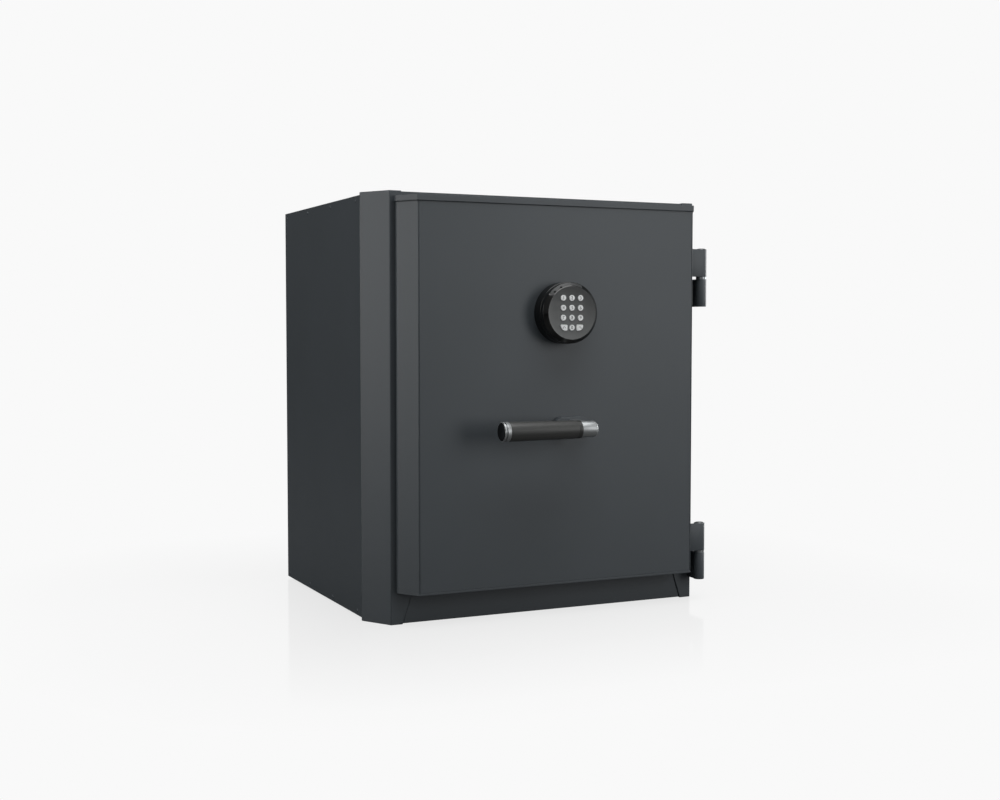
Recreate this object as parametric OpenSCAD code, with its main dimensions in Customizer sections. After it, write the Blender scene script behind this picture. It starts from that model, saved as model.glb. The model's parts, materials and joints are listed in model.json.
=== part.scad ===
// Fire and burglar resistant safe deposit box with an electronic lock, millimetres.
// Origin: centre of the floor anchor hole, at floor level. +Z is up, the door faces -Y,
// +X is to the right of someone facing the door. Plan sizes are measured from the front
// plane of the door frame (y = 0, growing towards the back), and place_front() moves
// them into the part's frame. The boltwork is shown withdrawn, with the door closed.

/* [Cabinet] */
// Overall width, across the door frame
cab_w = 542; // [500:1:640]
// Overall height, which is the height of the door frame
cab_h = 600; // [560:1:900]
// Depth from the front plane of the frame to the back panel
cab_d = 418; // [360:1:600]
// Thickness of the outer steel panels
panel_t = 3; // [2:0.5:5]
// How far the outer panels stand in from the outline of the frame
panel_inset = 3; // [2.5:0.5:6]
// Thickness of the fire barrier between the liner and the back panel
back_wall = 55; // [30:1:80]
// Spacing of the plug welds along the top and bottom edges of a side panel
weld_pitch = 112; // [60:1:115]
// Radius of a plug weld
weld_r = 3; // [2:0.5:5]
// Height that a plug weld stands proud of the panel
weld_proud = 1.2; // [0.5:0.1:2]
// Distance of the plug welds from the edge of the panel
weld_edge = 7; // [5:1:12]
// Distance of the first plug weld from the back edge of the panel
weld_end = 10; // [6:1:20]

/* [Door frame] */
// Thickness of the frame's sheet steel
frame_t = 3; // [2:0.5:5]
// Width of the frame's chamfered side face, seen from the front
chamfer_w = 27; // [15:1:40]
// Depth of the frame's chamfered side face
chamfer_d = 46.5; // [30:0.5:52]
// Width of the flat front face beside the door opening
frame_face_w = 37; // [34:1:50]
// Height of the top and bottom rails, up to the door opening
rail_h = 60; // [56:1:90]
// Depth of the door opening's jambs
jamb_d = 60; // [56:1:80]
// Width of the lip that the liner is welded to
jamb_lip = 15; // [12:1:20]
// Length of the lip that the side panels are welded to
weld_lip = 25; // [15:1:40]
// How far the rails stand back from the uprights
rail_setback = 1.5; // [0.5:0.1:3]
// How much shorter the rails are than the uprights, at each end
rail_trim = 1; // [0.5:0.1:2.5]
// Slant of the mitred seams, across the height of a rail
seam_slant = 19.5; // [5:0.5:25]
// Gap at the mitred seams
seam_gap = 0.4; // [0.2:0.1:1]
// Width of the spacer strip under the back of the floor panel, which levels the box
strip_w = 20; // [10:1:40]

/* [Inside] */
// Thickness of the liner's sheet steel
liner_t = 2; // [1:0.5:3]
// Height of the shelf's top above the floor of the liner
shelf_rise = 236; // [150:1:320]
// Thickness of the shelf's sheet
shelf_t = 2; // [1.5:0.5:4]
// Height of the shelf's folded front and back edges
shelf_fold = 18; // [10:1:30]
// Gap between the shelf and the liner
shelf_gap = 3; // [1:0.5:6]
// Distance of the shelf's front edge behind the door opening
shelf_setback = 25; // [10:1:60]
// Size of a shelf clip's arms
clip_size = 14; // [8:1:22]
// Radius of the bore in the floor anchor sleeve
anchor_r = 8; // [6:0.5:11]
// Wall thickness of the floor anchor sleeve
anchor_wall = 6; // [3:0.5:10]

/* [Seal] */
// Width of the intumescent fire seal
seal_w = 10; // [6:1:10]
// Gap between the fire seal and the door opening
seal_edge = 2; // [1:0.5:3]
// Clearance between the fire seal and the closed door
seal_gap = 0.6; // [0.3:0.1:2]

/* [Door leaf] */
// Width of the frame's flat face that shows beside the door
door_reveal = 6.7; // [2:0.1:12]
// Width of the bevel at each side of the door, seen from the front
door_bevel_w = 18.8; // [10:0.1:24]
// Depth of the bevel
door_bevel_d = 32.1; // [20:0.1:50]
// Depth of the straight edge behind the bevel
door_edge = 4.9; // [3:0.1:12]
// Gap between the door and the frame
door_gap = 4; // [3:0.1:8]
// Height of the door's bottom edge above the floor
door_rise = 45.7; // [42:0.1:47]
// Distance of the door's top edge below the top of the frame
door_drop = 7.5; // [2:0.1:40]
// Thickness of the door's front sheet
skin_t = 4; // [3:0.5:6]
// Thickness of the plate at the back of the door leaf
back_plate_t = 3; // [2:0.5:6]
// Height of the cap along the door's top edge
top_cap_h = 9.1; // [5:0.1:15]
// How far the top cap stands out from the door
top_cap_over = 1.5; // [0:0.1:3]
// Height and depth of the shadow groove below the top cap and beside the front face
groove = 0.8; // [0.4:0.1:1.5]
// Height of the plate that closes the door's bottom edge
bottom_cap_h = 3.5; // [2:0.5:8]
// Size of the hard plate that protects the lock from drilling
drill_plate_size = 120; // [90:1:160]
// Thickness of the hard plate
drill_plate_t = 6; // [3:0.5:10]

/* [Boltwork case] */
// Gap between the boltwork case and the door opening
case_gap = 10; // [6:0.5:14]
// Thickness of the case's sheet steel
case_t = 2.5; // [1.5:0.5:4]
// Width of the case's flanges
case_flange = 14; // [12:1:20]
// Radius of a cover screw
screw_r = 2; // [1.5:0.5:3]
// Radius of a cover screw's head
screw_head_r = 4; // [3.5:0.5:6]
// Height of a cover screw's head
screw_head_h = 1.6; // [1:0.1:2]
// Height of the fixed strip that grips behind the hinge side of the frame
strip_len = 420; // [200:1:440]
// Thickness of the fixed strip
strip_t = 20; // [12:1:24]
// How far the fixed strip reaches behind the jamb
strip_hook = 8; // [5:0.5:9]

/* [Boltwork] */
// Radius of a locking bolt
bolt_r = 10; // [8:0.5:11]
// Number of locking bolts
bolt_count = 3; // [2:1:4]
// Spacing of the locking bolts
bolt_pitch = 140; // [80:1:150]
// Length of a locking bolt
bolt_len = 65; // [50:1:80]
// Depth of the bolts' axes behind the front plane of the frame
bolt_depth = 30; // [26:0.5:32]
// Clearance round a bolt in the frame and in the case
bolt_clear = 1.2; // [0.5:0.1:3]
// Thickness of the bolt carriage
carriage_t = 4; // [3:0.5:5]
// Width of the carriage's arms
arm_w = 24; // [20:1:30]
// Radius of a guide stud
stud_r = 5; // [4:0.5:6]
// Gear module of the rack and pinion
gear_module = 2; // [1.5:0.1:2.2]
// Number of teeth on the pinion
pinion_teeth = 16; // [14:1:18]
// Thickness of the pinion
pinion_t = 6; // [5:0.5:7]
// Play between the teeth of the rack and the pinion
backlash = 0.3; // [0.2:0.05:0.5]

/* [Lock] */
// Width of the lock's case
lock_w = 62; // [50:1:80]
// Height of the lock's case
lock_h = 86; // [70:1:100]
// Depth of the lock's case
lock_d = 30; // [24:1:31]
// Width of the lock bolt
lock_bolt_w = 12; // [8:1:14]
// Depth of the lock bolt
lock_bolt_d = 14; // [8:1:16]
// Travel of the lock bolt
lock_throw = 10; // [6:1:14]
// Width of the tab on the carriage that the lock bolt blocks
tab_w = 8; // [4:0.5:9]

/* [Keypad] */
// Height of the keypad's centre above the middle of the cabinet
keypad_rise = 133; // [120:1:145]
// Radius of the keypad's base
keypad_base_r = 43.5; // [43:0.5:50]
// Depth of the keypad's base
keypad_base_d = 18; // [10:0.5:30]
// Radius of the keypad's front housing
keypad_r = 43; // [42:0.5:50]
// Depth of the keypad's front housing
keypad_front_d = 14; // [12:0.5:20]
// Rounding of the front edge of the keypad's base
keypad_edge = 1; // [0.5:0.1:1.5]
// Depth over which the keypad's rim slopes back from the face to its side
rim_slope = 6; // [2:0.5:8]
// Depth of the face's edge behind the front of the rim
face_recess = 0.4; // [0.2:0.1:1]
// Radius of the keypad's face
face_r = 37; // [34:0.5:38]
// Thickness of the keypad's face
face_t = 2.5; // [2:0.1:4]
// How far the middle of the dished face lies behind its edge
face_dish = 1; // [0.2:0.1:1.5]
// Radius of a round key
key_r = 4; // [3:0.05:4.8]
// Height that a key stands proud of the face
key_proud = 1.1; // [1:0.1:3]
// Travel of a key
key_travel = 0.8; // [0.4:0.1:1.2]
// Spacing of the keys across
key_pitch_x = 13.5; // [12.5:0.1:14]
// Spacing of the keys up and down
key_pitch_z = 13.8; // [12.5:0.1:14]
// Width of the two shaped keys in the bottom row
wide_key_w = 10.2; // [8:0.1:11]
// Height of the two shaped keys
wide_key_h = 8.2; // [8:0.1:9.8]
// Distance of the shaped keys' inner edges from the keypad's middle
wide_key_inner = 7.3; // [6.4:0.1:7.3]
// Radius of the shaped keys' large outer corner
wide_key_corner = 6.5; // [2:0.1:7]
// Radius of the shaped keys' other corners
wide_key_round = 1.4; // [0.5:0.1:2.5]

/* [Handle] */
// Distance of the handle's spindle to the right of the door's middle
spindle_x = 13; // [0:0.1:30]
// Distance of the handle's spindle below the middle of the cabinet
spindle_drop = 28.5; // [15:0.5:45]
// Radius of the spindle
spindle_r = 8; // [6:0.5:9]
// Wall thickness of the spindle's bush
bush_wall = 4; // [2:0.5:6]
// Distance from the door's face to the axis of the grip
grip_reach = 55; // [40:1:80]
// Length of the lever, from the spindle to the end of the grip
lever_len = 133; // [100:1:180]
// Radius of the lever's tube
tube_r = 11.5; // [9.5:0.5:12]
// Radius of the leg that carries the lever's tube
leg_r = 11; // [9.2:0.1:11.2]
// Radius to which the inner end of the lever's tube is rounded
tube_round = 4.5; // [2:0.5:6]
// Radius of the grip's sleeve at its outer end
sleeve_r = 13.6; // [12.5:0.1:16]
// How much thinner the sleeve is at its inner end
sleeve_taper = 1; // [0:0.1:1]
// Length of the sleeve
sleeve_len = 110; // [60:1:110]
// Radius of the core that carries the sleeve
core_r = 9; // [6:0.5:9]
// Length of the grip's metal end cap
end_cap_len = 9.5; // [8:0.5:15]
// Length of the oval rosette
rosette_len = 58; // [50:1:90]
// Height of the oval rosette
rosette_h = 28; // [27:1:40]
// Thickness of the rosette
rosette_t = 8; // [5:0.5:12]

/* [Hinges] */
// Distance of the hinge pins in from the side of the frame
hinge_inset = 25; // [22:0.5:26]
// Distance of the hinge pins in front of the frame
hinge_y = 22; // [19:0.5:26]
// Radius of a hinge knuckle
knuckle_r = 8; // [7:0.5:9]
// Height of one hinge knuckle
knuckle_h = 41; // [30:1:60]
// Gap between the two knuckles of a hinge
knuckle_gap = 3.5; // [2:0.5:6]
// Radius of a hinge pin
pin_r = 5; // [3:0.5:5.5]
// Thickness of the leaf on the door's half of a hinge
leaf_t = 5; // [3:0.5:6]
// Thickness of the leaf on the frame's half of a hinge
frame_leaf_t = 14; // [5:0.5:14.5]
// Height of the lower hinge's bottom edge above the floor
hinge_low = 31.5; // [20:0.5:60]
// Distance of the upper hinge's top edge below the top of the frame
hinge_drop = 70.5; // [66:0.5:200]

/* [Fits] */
// Radial clearance of pins, spindle and studs that turn or slide in their holes
run_fit = 0.05; // [0.02:0.01:0.1]
// Clearance between pieces that move past each other
move_gap = 0.3; // [0.3:0.05:0.6]

/* [Hidden] */
$fn = 64;
cut = 1; // how far a cutting shape runs past what it cuts

// Colours
anthracite = "#45494c";
dark_steel = "#2f3337";
bare_steel = "#9a9da0";
satin_metal = "#b9bbbc";
black_plastic = "#131415";
grey_face = "#565758";
key_grey = "#cfd0d0";
warm_dark = "#3d3c39";
concrete = "#8f8d88";

// Cabinet, from the front plane of the frame
front_y = -cab_d / 2;
half_w = cab_w / 2;
side_x = half_w - panel_inset;
inner_side_x = side_x - panel_t;
shell_z0 = panel_inset;
shell_z1 = cab_h - panel_inset;
flat_x = half_w - chamfer_w;
open_x = flat_x - frame_face_w;
open_z0 = rail_h;
open_z1 = cab_h - rail_h;
chamfer_slope = chamfer_w / chamfer_d;
chamfer_stretch = sqrt(1 + pow(chamfer_slope, 2));
liner_y1 = cab_d - panel_t - back_wall - liner_t;
shelf_z = open_z0 + shelf_rise;
hinge_x = half_w - hinge_inset;
hinge_high = cab_h - hinge_drop - 2 * knuckle_h - knuckle_gap;
mid_z = cab_h / 2;
keypad_z = mid_z + keypad_rise;
spindle_z = mid_z - spindle_drop;

// Fixed strip and the slot in the frame that it swings out through: the strip's front
// outer corner leaves the jamb on a circle round the hinge pins
strip_y0 = bolt_depth + 4 - strip_t / 2;
strip_y1 = strip_y0 + strip_t;
slot_margin = 4;
slot_front = sqrt(pow(hinge_x - open_x - strip_hook, 2) + pow(strip_y0 + hinge_y, 2)
                  - pow(hinge_x - open_x, 2)) - hinge_y - slot_margin / 2 - 1;

// Door, from the front plane of the frame
door_half = flat_x - door_reveal - door_bevel_w;
door_y0 = -(door_gap + door_edge + door_bevel_d);
door_y1 = -door_gap;
door_z0 = door_rise;
door_z1 = cab_h - door_drop;
leaf_z0 = door_z0 + bottom_cap_h;
leaf_z1 = door_z1 - top_cap_h;
bevel_slope = door_bevel_w / door_bevel_d;
bevel_stretch = sqrt(1 + pow(bevel_slope, 2));
case_x = open_x - case_gap;
case_z0 = open_z0 + case_gap;
case_z1 = open_z1 - case_gap;
case_y1 = jamb_d;
cover_y0 = case_y1 - case_t;
cable_r = 5;

// Boltwork
pitch_r = gear_module * pinion_teeth / 2;
throw = PI / 2 * pitch_r; // a quarter turn of the handle
bolt_tip_x = -(case_x + 0.5);
flange_x = bolt_tip_x + bolt_len;
flange_t = 5;
plate_w = 40;
plate_y0 = bolt_depth + bolt_r + 1;
plate_y1 = plate_y0 + carriage_t;
stud_x = flange_x + 62;
arm_past_slot = 20;
top_arm_z = lock_top() + 14;
low_arm_z = mid_z - bolt_pitch;
rack_z = spindle_z + pitch_r;
pressure_angle = 20;
rack_addendum = 0.8 * gear_module;
dedendum = 1.25 * gear_module;
pinion_gap = 1; // how far the pinion reaches past the rack on each side
lock_z0 = keypad_z - lock_h / 2;
function lock_top() = keypad_z + lock_h / 2;
lock_bolt_y = 12;
lock_bolt_len = lock_throw + 24;
lock_bolt_rise = 2; // how far the withdrawn lock bolt stands out of its case
tab_x = lock_bolt_w / 2 + 1.5;

// Keypad and handle
housing_y0 = door_y0 - keypad_base_d - keypad_front_d;
housing_y1 = door_y0 - keypad_base_d;
face_y = housing_y0 + face_recess;
face_back_y = face_y + face_dish + face_t;
key_front_y = face_y + face_dish - key_proud;
key_back_y = face_back_y + move_gap;
key_flange_t = 1;
key_flange = 0.7;
key_rows_z = keypad_z + 0.2;
grip_y = door_y0 - grip_reach;
rosette_y = door_y0 - rosette_t;
grip_end_x = spindle_x - lever_len;
sleeve_x0 = grip_end_x + end_cap_len;
core_x0 = grip_end_x + 3;
groove_pitch = 2;
spindle_y0 = grip_y + sleeve_r;
housing_floor_y = key_back_y + key_flange_t + key_travel + 2; // behind the pressed keys
window_t = 1.5;
window_margin = 0.7; // rim that is left on both sides of the light window
window_from = 65; // the light window in the rim runs between these angles
window_to = 141;
rim_lip = 0.3; // flat part of the rim round the face
face_flat_r = 24;
washer_step = 0.4; // how far a hinge washer lies inside the knuckles

// Moves what is drawn from the front plane of the frame into the part's frame
module place_front() translate([0, front_y, 0]) children();

// Box between two opposite corners
module block(x, y, z) {
    place_front() translate([x[0], y[0], z[0]])
        cube([x[1] - x[0], y[1] - y[0], z[1] - z[0]]);
}

// Plan outline, extruded from z[0] to z[1]
module upright_shape(z) {
    place_front() translate([0, 0, z[0]]) linear_extrude(z[1] - z[0]) children();
}

// Outline in y and z, extruded along X between -half and half
module crossways_shape(half) {
    place_front() translate([-half, 0, 0]) rotate([90, 0, 90])
        linear_extrude(2 * half) children();
}

// Outline in x and z, extruded along Y from y[0] to y[1]
module facing_shape(y) {
    place_front() translate([0, y[1], 0]) rotate([90, 0, 0])
        linear_extrude(y[1] - y[0]) children();
}

// Round bars along X, Y and Z
module rod_x(y, z, x, r) {
    place_front() translate([x[0], y, z]) rotate([0, 90, 0]) cylinder(h = x[1] - x[0], r = r);
}
module rod_y(x, z, y, r) {
    place_front() translate([x, y[0], z]) rotate([-90, 0, 0]) cylinder(h = y[1] - y[0], r = r);
}
module rod_z(x, y, z, r) {
    place_front() translate([x, y, z[0]]) cylinder(h = z[1] - z[0], r = r);
}

// Copy on both sides of the middle plane
module both_sides() {
    children();
    mirror([1, 0, 0]) children();
}

// Turns the bottom end of the cabinet into its top end
module at_top() translate([0, 0, cab_h]) mirror([0, 0, 1]) children();

// ---------- Cabinet ----------

function weld_rows() = floor((cab_d - chamfer_d - 2 * weld_end) / weld_pitch);

module plug_welds() {
    rise = (weld_proud * weld_proud + weld_r * weld_r) / (2 * weld_proud);
    for (i = [0 : weld_rows()], z = [shell_z0 + weld_edge, shell_z1 - weld_edge])
        place_front() translate([side_x, cab_d - weld_end - i * weld_pitch, z])
            rotate([0, 90, 0]) rotate_extrude($fn = 24) intersection() {
                translate([0, weld_proud - rise]) circle(r = rise);
                square([weld_r, weld_proud]);
            }
}

module side_panel() {
    block([inner_side_x, side_x], [chamfer_d, cab_d], [shell_z0, shell_z1]);
    plug_welds();
}

module side_panel_left() color(anthracite) mirror([1, 0, 0]) side_panel();

module side_panel_right() color(anthracite) side_panel();

module top_panel() color(anthracite)
    block([-inner_side_x, inner_side_x], [chamfer_d, cab_d], [shell_z1 - panel_t, shell_z1]);

module bottom_panel() color(anthracite) difference() {
    block([-inner_side_x, inner_side_x], [chamfer_d, cab_d], [shell_z0, shell_z0 + panel_t]);
    rod_z(0, -front_y, [-cut, open_z0], anchor_r + anchor_wall);
}

module back_panel() color(anthracite)
    block([-inner_side_x, inner_side_x], [cab_d - panel_t, cab_d],
          [shell_z0 + panel_t, shell_z1 - panel_t]);

// Where the inner face of the chamfered sheet lies
function chamfer_in_x(y) = flat_x + y * chamfer_slope - frame_t * chamfer_stretch;
function chamfer_in_y(x) = (x - flat_x + frame_t * chamfer_stretch) / chamfer_slope;

module fill_outline() {
    lip_x = inner_side_x - frame_t;
    fill_y0 = frame_t + rail_setback;
    polygon([
        [-chamfer_in_x(fill_y0), fill_y0], [chamfer_in_x(fill_y0), fill_y0],
        [lip_x, chamfer_in_y(lip_x)], [lip_x, chamfer_d + weld_lip],
        [inner_side_x, chamfer_d + weld_lip], [inner_side_x, cab_d - panel_t],
        [-inner_side_x, cab_d - panel_t], [-inner_side_x, chamfer_d + weld_lip],
        [-lip_x, chamfer_d + weld_lip], [-lip_x, chamfer_in_y(lip_x)]
    ]);
}

module barrier_fill() color(concrete) difference() {
    upright_shape([shell_z0 + panel_t, shell_z1 - panel_t]) fill_outline();
    jamb_x = open_x + jamb_lip;
    block([-jamb_x, jamb_x], [0, jamb_d + liner_t], [open_z0 - jamb_lip, open_z1 + jamb_lip]);
    liner_x = open_x + liner_t;
    block([-liner_x, liner_x], [0, liner_y1 + liner_t], [open_z0 - liner_t, open_z1 + liner_t]);
    bolt_rows() rod_x(bolt_depth, 0, [bolt_tip_x - throw - 6, 0], bolt_r + bolt_clear);
    rod_z(0, -front_y, [0, open_z0], anchor_r + anchor_wall);
}

module inner_liner() color(bare_steel) difference() {
    union() {
        block([-open_x - liner_t, open_x + liner_t], [jamb_d, liner_y1 + liner_t],
              [open_z0 - liner_t, open_z1 + liner_t]);
        block([-open_x - jamb_lip, open_x + jamb_lip], [jamb_d, jamb_d + liner_t],
              [open_z0 - jamb_lip, open_z1 + jamb_lip]);
    }
    block([-open_x, open_x], [jamb_d - cut, liner_y1], [open_z0, open_z1]);
    rod_z(0, -front_y, [0, open_z0 + cut], anchor_r + anchor_wall);
}

// ---------- Door frame ----------

// Front view of a rail, between the two slanted seams, pulled in by gap
module rail_outline(gap) {
    low = open_x + seam_slant - gap;
    high = open_x - gap;
    polygon([[-low, 0], [low, 0], [high, open_z0], [-high, open_z0]]);
}

module upright_profile() {
    polygon([
        [open_x, 0], [flat_x, 0], [half_w, chamfer_d], [inner_side_x, chamfer_d],
        [inner_side_x, chamfer_in_y(inner_side_x)], [chamfer_in_x(frame_t), frame_t],
        [open_x + frame_t, frame_t], [open_x + frame_t, jamb_d - frame_t],
        [open_x + jamb_lip, jamb_d - frame_t], [open_x + jamb_lip, jamb_d], [open_x, jamb_d]
    ]);
}

module upright_end() {
    upright_shape([0, frame_t]) polygon([
        [open_x, 0], [flat_x, 0], [half_w, chamfer_d], [open_x, chamfer_d]
    ]);
}

// What the rail and its lip take away from the end of an upright
module upright_mitre() {
    facing_shape([-cut, jamb_d + cut]) rail_outline(0);
    block([open_x - cut, open_x + jamb_lip + cut], [jamb_d - frame_t - cut, jamb_d + cut],
          [-cut, open_z0 - jamb_lip]);
}

// Bent sheet upright with its end plates, mitred to the rails
module frame_upright() {
    difference() {
        union() {
            upright_shape([0, cab_h]) upright_profile();
            upright_end();
            at_top() upright_end();
        }
        upright_mitre();
        at_top() upright_mitre();
    }
    lip_y0 = chamfer_in_y(inner_side_x - frame_t);
    block([inner_side_x - frame_t, inner_side_x], [lip_y0, chamfer_d + weld_lip],
          [shell_z0 + panel_t, shell_z1 - panel_t]);
}

module bolt_rows() {
    for (i = [0 : bolt_count - 1])
        translate([0, 0, mid_z + (i - (bolt_count - 1) / 2) * bolt_pitch]) children();
}

module frame_upright_left() color(anthracite) difference() {
    mirror([1, 0, 0]) frame_upright();
    bolt_rows() rod_x(bolt_depth, 0, [-open_x - frame_t - cut, -open_x + cut],
                      bolt_r + bolt_clear);
}

module frame_upright_right() color(anthracite) difference() {
    frame_upright();
    slot_half = strip_len / 2 + slot_margin;
    block([open_x - cut, open_x + frame_t + cut],
          [slot_front, strip_y1 + slot_margin],
          [mid_z - slot_half, mid_z + slot_half]);
}

module frame_rail() {
    intersection() {
        crossways_shape(half_w) polygon([
            [rail_setback, rail_trim], [rail_setback, open_z0], [jamb_d, open_z0],
            [jamb_d, open_z0 - jamb_lip], [jamb_d - frame_t, open_z0 - jamb_lip],
            [jamb_d - frame_t, open_z0 - frame_t],
            [rail_setback + frame_t, open_z0 - frame_t],
            [rail_setback + frame_t, rail_trim + frame_t],
            [chamfer_d, rail_trim + frame_t], [chamfer_d, rail_trim]
        ]);
        facing_shape([-cut, jamb_d + cut]) rail_outline(seam_gap);
    }
}

module frame_bottom_rail() color(anthracite) frame_rail();

module frame_top_rail() color(anthracite) at_top() frame_rail();

module fire_seal() color(dark_steel) {
    inner_x = open_x + seal_edge;
    inner_z0 = open_z0 - seal_edge;
    inner_z1 = open_z1 + seal_edge;
    seal_y0 = door_y1 + seal_gap;
    facing_shape([seal_y0, 0]) difference() {
        translate([-inner_x - seal_w, inner_z0 - seal_w])
            square([2 * (inner_x + seal_w), inner_z1 - inner_z0 + 2 * seal_w]);
        translate([-inner_x, inner_z0]) square([2 * inner_x, inner_z1 - inner_z0]);
    }
    for (z = [inner_z0 - seal_w, inner_z1])
        block([-open_x, open_x], [seal_y0, rail_setback], [z, z + seal_w]);
}

// ---------- Inside ----------

module shelf() color(bare_steel) {
    x = open_x - shelf_gap;
    y0 = jamb_d + shelf_setback;
    y1 = liner_y1 - shelf_gap;
    crossways_shape(x) polygon([
        [y0, shelf_z - shelf_fold], [y0, shelf_z], [y1, shelf_z], [y1, shelf_z - shelf_fold],
        [y1 - shelf_t, shelf_z - shelf_fold], [y1 - shelf_t, shelf_z - shelf_t],
        [y0 + shelf_t, shelf_z - shelf_t], [y0 + shelf_t, shelf_z - shelf_fold]
    ]);
}

module shelf_clips() color(bare_steel) {
    y0 = jamb_d + shelf_setback + 20;
    y1 = liner_y1 - shelf_gap - 20 - clip_size;
    z = shelf_z - shelf_t;
    for (y = [y0, y1]) both_sides() {
        block([open_x - clip_size, open_x], [y, y + clip_size], [z - shelf_t, z]);
        block([open_x - shelf_t, open_x], [y, y + clip_size], [z - clip_size, z]);
    }
}

module anchor_sleeve() color(bare_steel) difference() {
    rod_z(0, -front_y, [0, open_z0], anchor_r + anchor_wall);
    rod_z(0, -front_y, [-cut, open_z0 + cut], anchor_r);
}

module rear_base_strip() color(dark_steel)
    block([-flat_x, flat_x], [cab_d - panel_t - strip_w, cab_d - panel_t], [0, shell_z0]);

// ---------- Hinges ----------

// Lower half, whose thick leaf runs back to the front and the chamfered side of the frame
module frame_hinge_half(base) {
    x1 = hinge_x + knuckle_r;
    x0 = x1 - frame_leaf_t;
    difference() {
        union() {
            rod_z(hinge_x, -hinge_y, [base, base + knuckle_h], knuckle_r);
            upright_shape([base, base + knuckle_h]) polygon([
                [x0, -hinge_y], [x1, -hinge_y], [x1, (x1 - flat_x) / chamfer_slope],
                if (x0 < flat_x) [flat_x, 0],
                [x0, max(0, (x0 - flat_x) / chamfer_slope)]
            ]);
        }
        rod_z(hinge_x, -hinge_y, [base + cut, base + knuckle_h + cut], pin_r);
    }
}

// Upper half, whose leaf is welded to the bevel of the door
module door_hinge_half(base) {
    z0 = base + knuckle_h + knuckle_gap;
    y0 = -hinge_y - knuckle_r;
    y1 = y0 + leaf_t;
    difference() {
        union() {
            rod_z(hinge_x, -hinge_y, [z0, z0 + knuckle_h], knuckle_r);
            upright_shape([z0, z0 + knuckle_h]) polygon([
                [door_bevel_x(y0), y0], [hinge_x, y0], [hinge_x, y1], [door_bevel_x(y1), y1]
            ]);
        }
        rod_z(hinge_x, -hinge_y, [z0 - cut, z0 + knuckle_h - 5], pin_r + run_fit);
    }
}

module hinge_top_frame_half() color(anthracite) frame_hinge_half(hinge_high);

module hinge_bottom_frame_half() color(anthracite) frame_hinge_half(hinge_low);

module hinge_top_door_half() color(anthracite) door_hinge_half(hinge_high);

module hinge_bottom_door_half() color(anthracite) door_hinge_half(hinge_low);

module hinge_pins() color(bare_steel) for (base = [hinge_low, hinge_high])
    rod_z(hinge_x, -hinge_y, [base + cut, base + 2 * knuckle_h + knuckle_gap - 6], pin_r);

module hinge_washers() color(bare_steel) for (base = [hinge_low, hinge_high]) difference() {
    z0 = base + knuckle_h;
    rod_z(hinge_x, -hinge_y, [z0, z0 + knuckle_gap - move_gap], knuckle_r - washer_step);
    rod_z(hinge_x, -hinge_y, [z0 - cut, z0 + knuckle_gap], pin_r);
}

// ---------- Door leaf ----------

// Where the door's bevel lies at depth y
function door_bevel_x(y) = door_half + (y - door_y0) * bevel_slope;

// Plan of the door leaf, pulled in by inset and ending at depth y1
module door_plan(inset, y1) {
    front = door_half + inset * (bevel_slope - bevel_stretch);
    side = door_half + door_bevel_w - inset;
    knee = door_y0 + (side - door_half + inset * bevel_stretch) / bevel_slope;
    polygon([
        [-side, y1], [-side, knee], [-front, door_y0 + inset],
        [front, door_y0 + inset], [side, knee], [side, y1]
    ]);
}

module door_holes(y) {
    rod_y(spindle_x, spindle_z, y, spindle_r + bush_wall);
    rod_y(0, keypad_z, y, cable_r);
}

module door_skin() color(anthracite) difference() {
    upright_shape([leaf_z0, leaf_z1]) difference() {
        door_plan(0, door_y1);
        door_plan(skin_t, door_y1 + cut);
        both_sides() translate([door_half - 1.6, door_y0 - cut]) square([groove, cut + groove]);
    }
    door_holes([door_y0 - cut, door_y1]);
}

module door_top_cap() color(anthracite) {
    upright_shape([leaf_z1, leaf_z1 + groove]) door_plan(groove, door_y1);
    upright_shape([leaf_z1 + groove, door_z1])
        door_plan(-top_cap_over, door_y1 + top_cap_over);
}

module door_bottom_cap() color(anthracite)
    upright_shape([door_z0, leaf_z0]) door_plan(0, door_y1);

module drill_plate_block() {
    half = drill_plate_size / 2;
    block([-half, half], [door_y0 + skin_t, door_y0 + skin_t + drill_plate_t],
          [keypad_z - half, keypad_z + half]);
}

module door_barrier() color(concrete) difference() {
    upright_shape([leaf_z0, leaf_z1]) door_plan(skin_t, door_y1 - back_plate_t);
    drill_plate_block();
    door_holes([door_y0, door_y1]);
}

module drill_plate() color(bare_steel) difference() {
    drill_plate_block();
    door_holes([door_y0, door_y1]);
}

module door_back_plate() color(anthracite) difference() {
    x = door_half + door_bevel_w - skin_t;
    block([-x, x], [door_y1 - back_plate_t, door_y1], [leaf_z0, leaf_z1]);
    door_holes([door_y0, door_y1 + cut]);
}

// ---------- Boltwork case ----------

// Centres of the cover screws, in x and z
function screw_places() = [
    for (x = [-1, 1], k = [0 : 3])
        [x * (case_x - case_flange / 2),
         case_z0 + case_flange / 2 + k * (case_z1 - case_z0 - case_flange) / 3]
];

module case_outline(inset) {
    translate([-case_x + inset, case_z0 + inset])
        square([2 * (case_x - inset), case_z1 - case_z0 - 2 * inset]);
}

module boltwork_case() color(dark_steel) difference() {
    facing_shape([door_y1, cover_y0]) case_outline(0);
    facing_shape([door_y1 + case_t, cover_y0 - case_t]) case_outline(case_t);
    facing_shape([door_y1 - cut, case_y1]) case_outline(case_flange);
    bolt_rows() rod_x(bolt_depth, 0, [-case_x - cut, -case_x + case_t + cut],
                      bolt_r + bolt_clear);
    for (p = screw_places()) rod_y(p[0], p[1], [cover_y0 - case_t - cut, case_y1], screw_r);
}

module boltwork_cover() color(dark_steel) difference() {
    facing_shape([cover_y0, case_y1]) case_outline(0);
    for (p = screw_places()) rod_y(p[0], p[1], [cover_y0 - cut, case_y1 + cut], screw_r);
}

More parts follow.
